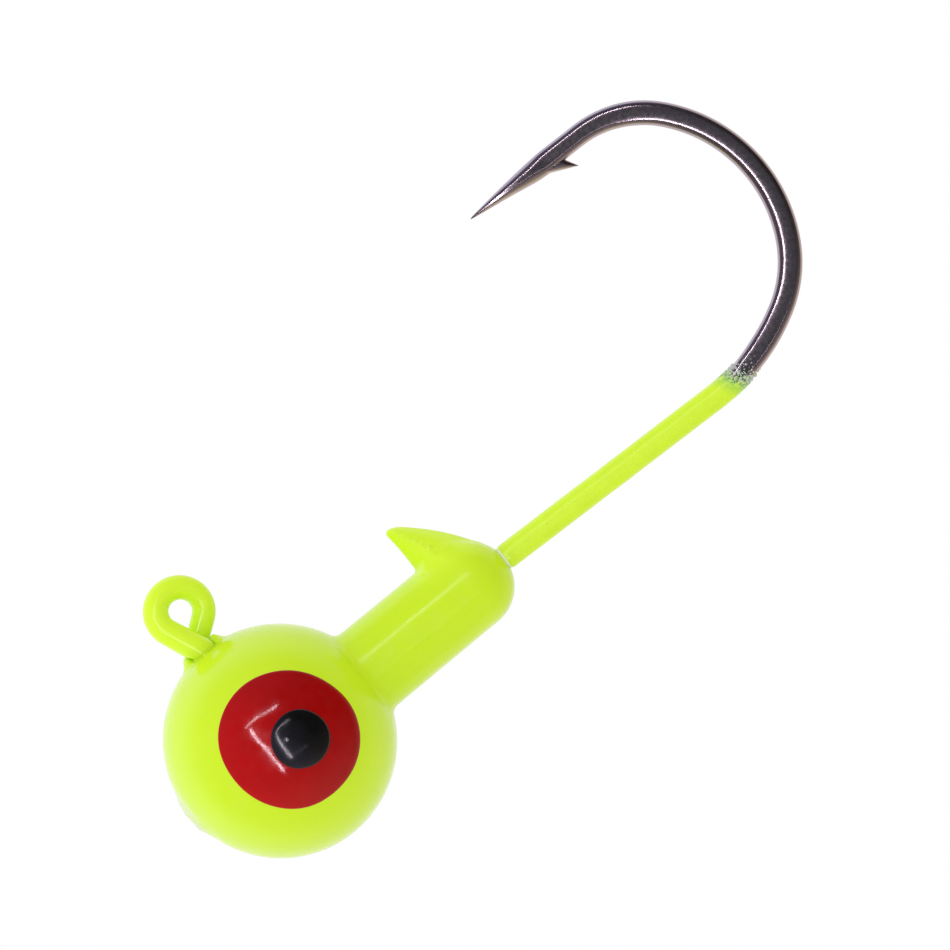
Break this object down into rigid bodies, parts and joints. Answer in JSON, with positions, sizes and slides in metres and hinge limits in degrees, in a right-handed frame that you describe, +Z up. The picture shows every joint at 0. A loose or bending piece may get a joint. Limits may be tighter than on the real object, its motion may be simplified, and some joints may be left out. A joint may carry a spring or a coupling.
{
  "type": "jig head",
  "caption": "Round ball-head fishing jig with a barbed bait collar, a wire line tie on top, enamel eyes and a wide-gap barbed hook.",
  "frame": {"origin": "centre of the line tie's ring", "axes": "+X along the hook's shank from the ball towards the bend; +Z up, from the ball through the line tie, the way the line pulls and the hook's point rides; -Y is the head's left side"},
  "size_m": [0.038, 0.011, 0.0191],
  "materials": {
    "black_nickel": "gloss",
    "cast_lead": "matte",
    "chartreuse_paint": "gloss",
    "red_enamel": "gloss",
    "black_enamel": "gloss"
  },
  "bodies": {
    "root": {"hook": "black_nickel", "head_casting": "cast_lead", "head_coat": "chartreuse_paint", "shank_coat": "chartreuse_paint", "iris_left": "red_enamel", "iris_right": "red_enamel", "pupil_left": "black_enamel", "pupil_right": "black_enamel"}
  },
  "joints": []
}
